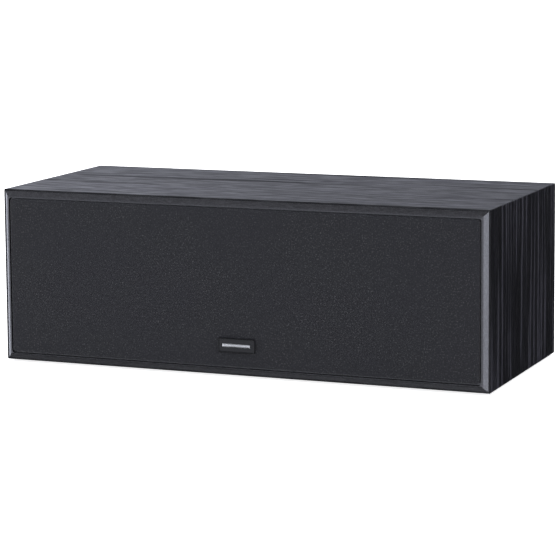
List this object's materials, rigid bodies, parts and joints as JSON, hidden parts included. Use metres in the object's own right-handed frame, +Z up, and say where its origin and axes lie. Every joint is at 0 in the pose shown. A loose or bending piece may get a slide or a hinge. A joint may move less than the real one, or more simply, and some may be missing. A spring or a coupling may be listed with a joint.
{
  "type": "center channel speaker",
  "caption": "Low, wide two-way center channel speaker with a cloth grille, a woofer on each side of a dome tweeter, a rear reflex tube and binding posts.",
  "frame": {"origin": "middle of the footprint at the soles of the pads", "axes": "+X along the cabinet to the viewer's right, +Y from the grille to the back, +Z up"},
  "size_m": [0.435, 0.1924, 0.15],
  "materials": {
    "ash_foil": "black ash foil, satin",
    "moulded_black": "satin moulded",
    "board_black": "black coated board",
    "frame_plastic": "matt moulded",
    "grille_fabric": "knitted speaker cloth",
    "badge_gloss": "gloss",
    "black_rubber": "matt",
    "basket_steel": "black painted pressed steel",
    "trim_plastic": "satin moulded",
    "surround_rubber": "matt",
    "cone_pulp": "coated pulp",
    "cap_cloth": "doped cloth",
    "spider_cloth": "resin-treated cloth",
    "copper_wire": "enamelled copper wire",
    "plated_steel": "zinc plated",
    "ferrite": "matt ferrite",
    "terminal_brass": "tinned brass",
    "dome_silk": "coated silk",
    "black_screws": "black oxide",
    "back_plastic": "fine-grained moulded",
    "gold_brass": "gold plated",
    "cap_red": "clear red over black",
    "cap_black": "gloss",
    "board_laminate": "glass-fibre laminate",
    "white_nylon": "natural nylon",
    "film_blue": "wrapped film",
    "film_red": "dipped film",
    "cement": "cement case",
    "lead_sheath": "soft sheath",
    "white_wadding": "polyester wadding"
  },
  "bodies": {
    "cabinet": {"cabinet_wrap": "ash_foil", "front_baffle": "moulded_black", "rear_panel": "board_black", "peg_cups": "black_rubber", "foot_pads": "black_rubber", "woofer_left_basket": "basket_steel", "woofer_left_trim_ring": "trim_plastic", "woofer_left_surround": "surround_rubber", "woofer_left_spider": "spider_cloth", "woofer_left_top_plate": "plated_steel", "woofer_left_magnet": "ferrite", "woofer_left_pole_plate": "plated_steel", "woofer_right_basket": "basket_steel", "woofer_right_trim_ring": "trim_plastic", "woofer_right_surround": "surround_rubber", "woofer_right_spider": "spider_cloth", "woofer_right_top_plate": "plated_steel", "woofer_right_magnet": "ferrite", "woofer_right_pole_plate": "plated_steel", "woofer_terminals": "terminal_brass", "tweeter_faceplate": "trim_plastic", "tweeter_top_plate": "plated_steel", "tweeter_magnet": "ferrite", "tweeter_pole_plate": "plated_steel", "tweeter_terminals": "terminal_brass", "driver_screws": "black_screws", "reflex_tube": "back_plastic", "terminal_cup": "back_plastic", "cup_screws": "black_screws", "red_post_stem": "gold_brass", "black_post_stem": "gold_brass", "post_nuts": "gold_brass", "crossover_board": "board_laminate", "board_spacers": "white_nylon", "board_screws": "plated_steel", "woofer_choke": "copper_wire", "tweeter_choke": "copper_wire", "large_capacitor": "film_blue", "small_capacitor": "film_red", "resistor": "cement", "woofer_leads": "lead_sheath", "tweeter_lead": "lead_sheath", "terminal_leads": "lead_sheath", "wadding_left": "white_wadding", "wadding_right": "white_wadding"},
    "grille": {"grille_frame": "frame_plastic", "grille_cloth": "grille_fabric", "badge": "badge_gloss"},
    "woofer_left_diaphragm": {"woofer_left_cone": "cone_pulp", "woofer_left_dust_cap": "cap_cloth", "woofer_left_voice_coil": "copper_wire"},
    "woofer_right_diaphragm": {"woofer_right_cone": "cone_pulp", "woofer_right_dust_cap": "cap_cloth", "woofer_right_voice_coil": "copper_wire"},
    "tweeter_diaphragm": {"tweeter_dome": "dome_silk", "tweeter_voice_coil": "copper_wire"},
    "red_post_nut": {"red_post_insert": "gold_brass"},
    "red_post_knob": {"red_post_cap": "cap_red"},
    "black_post_nut": {"black_post_insert": "gold_brass"},
    "black_post_knob": {"black_post_cap": "cap_black"}
  },
  "joints": [
    {"name": "grille_pull", "type": "slide", "parent": "cabinet", "child": "grille", "axis": [0, -1, 0], "range_m": [0, 0.08]},
    {"name": "woofer_left_travel", "type": "slide", "parent": "cabinet", "child": "woofer_left_diaphragm", "axis": [0, -1, 0], "range_m": [-0.0025, 0.0025], "stiffness_N_per_m": 1300, "deforming": ["woofer_left_surround", "woofer_left_spider"]},
    {"name": "woofer_right_travel", "type": "slide", "parent": "cabinet", "child": "woofer_right_diaphragm", "axis": [0, -1, 0], "range_m": [-0.0025, 0.0025], "stiffness_N_per_m": 1300, "deforming": ["woofer_right_surround", "woofer_right_spider"]},
    {"name": "tweeter_travel", "type": "slide", "parent": "cabinet", "child": "tweeter_diaphragm", "axis": [0, -1, 0], "range_m": [-0.0003, 0.0003], "stiffness_N_per_m": 2000, "deforming": ["tweeter_dome"]},
    {"name": "red_cap_lift", "type": "slide", "parent": "cabinet", "child": "red_post_nut", "axis": [0, 1, 0], "range_m": [0, 0.004]},
    {"name": "black_cap_lift", "type": "slide", "parent": "cabinet", "child": "black_post_nut", "axis": [0, 1, 0], "range_m": [0, 0.004]},
    {"name": "red_cap_turn", "type": "hinge", "parent": "red_post_nut", "child": "red_post_knob", "pos_m": [0.1045, 0.0862, 0.076], "axis": [0, 1, 0], "range_deg": [0, 1440]},
    {"name": "black_cap_turn", "type": "hinge", "parent": "black_post_nut", "child": "black_post_knob", "pos_m": [0.0855, 0.0862, 0.076], "axis": [0, 1, 0], "range_deg": [0, 1440]}
  ],
  "couplings": [
    {"joint": "red_cap_turn", "follows": "red_cap_lift", "rad_per_m": 6283},
    {"joint": "black_cap_turn", "follows": "black_cap_lift", "rad_per_m": 6283}
  ]
}
